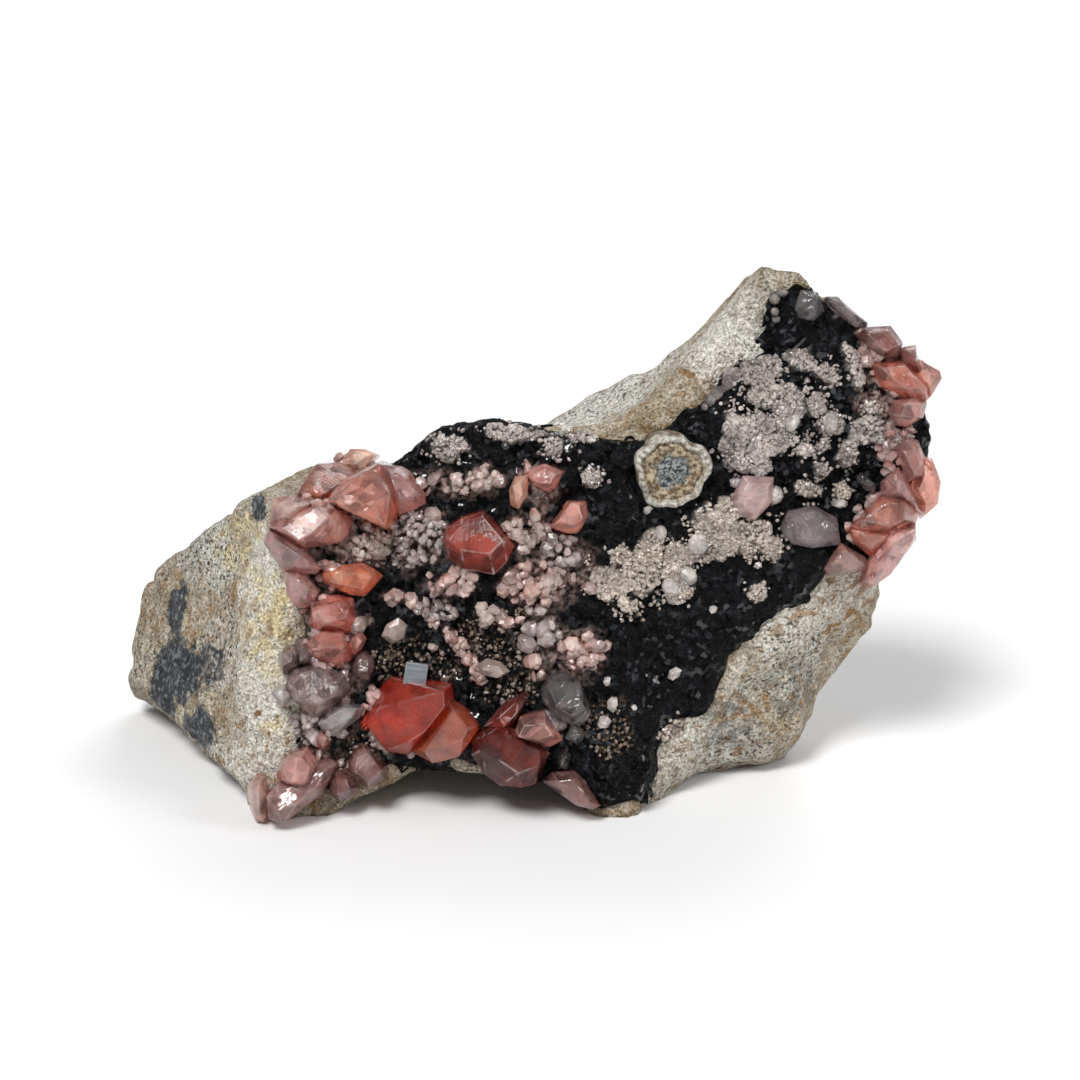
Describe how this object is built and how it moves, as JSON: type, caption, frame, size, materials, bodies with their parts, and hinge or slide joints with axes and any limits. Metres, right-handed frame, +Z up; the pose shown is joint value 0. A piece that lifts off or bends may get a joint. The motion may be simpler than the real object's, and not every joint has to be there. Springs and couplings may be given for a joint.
{
  "type": "mineral specimen",
  "caption": "Rhodochrosite on matrix: a pale rock with a black oxide crust over its front and clusters of pink to red glassy crystals grown on it, resting on its own base.",
  "frame": {"origin": "on the resting surface, under the middle of the specimen's bounding box", "axes": "+X along the specimen's length, towards the end with the peak; +Y away from the crystal front; +Z up"},
  "size_m": [0.091, 0.041, 0.0571],
  "materials": {
    "pale_rock": "rough granular pale stone with ochre specks",
    "black_oxide": "black granular oxide crust with fine sparkle",
    "rhodochrosite": "glassy pink to red see-through crystal",
    "clear_crystal": "glassy, nearly colourless crystal",
    "sugary_grains": "sugary small crystals, greyish pink to white",
    "cream_nodule": "dull cream granular rings",
    "silvery_metal": "bright metallic, finely striated"
  },
  "bodies": {
    "root": {"black_crust": "black_oxide", "clear_crystal_right": "clear_crystal", "clear_crystals_lower": "clear_crystal", "clear_crystals_lower_2": "clear_crystal", "crystals_left_foot": "rhodochrosite", "crystals_left_foot_2": "rhodochrosite", "crystals_left_side": "rhodochrosite", "crystals_left_side_2": "rhodochrosite", "crystals_left_side_3": "rhodochrosite", "crystals_left_side_4": "rhodochrosite", "crystals_left_side_5": "rhodochrosite", "crystals_right_lower": "rhodochrosite", "crystals_right_upper": "rhodochrosite", "crystals_upper_left": "rhodochrosite", "crystals_upper_left_2": "rhodochrosite", "dark_red_crystal_upper": "rhodochrosite", "dark_red_crystals_lower": "rhodochrosite", "lilac_plate_right": "clear_crystal", "matrix_rock": "pale_rock", "mauve_plate_middle": "rhodochrosite", "pale_crystals_rim": "clear_crystal", "pale_crystals_rim_2": "clear_crystal", "pink_crystal_right": "rhodochrosite", "pink_crystal_toe": "rhodochrosite", "pink_crystals_upper": "rhodochrosite", "pink_ledge": "sugary_grains", "pink_ledge_2": "sugary_grains", "quartz_patch_hump": "sugary_grains", "quartz_patch_lower": "sugary_grains", "quartz_patch_middle": "sugary_grains", "quartz_patch_right": "sugary_grains", "quartz_patch_top": "sugary_grains", "quartz_patch_upper": "sugary_grains", "red_crystals_front": "rhodochrosite", "ring_nodule": "cream_nodule", "silvery_cube": "silvery_metal", "small_crystals_chain": "sugary_grains", "small_crystals_left": "sugary_grains", "small_crystals_left_2": "sugary_grains", "small_crystals_left_3": "sugary_grains", "small_crystals_lower": "sugary_grains", "small_crystals_lower_2": "sugary_grains", "small_crystals_middle": "sugary_grains"}
  },
  "joints": []
}
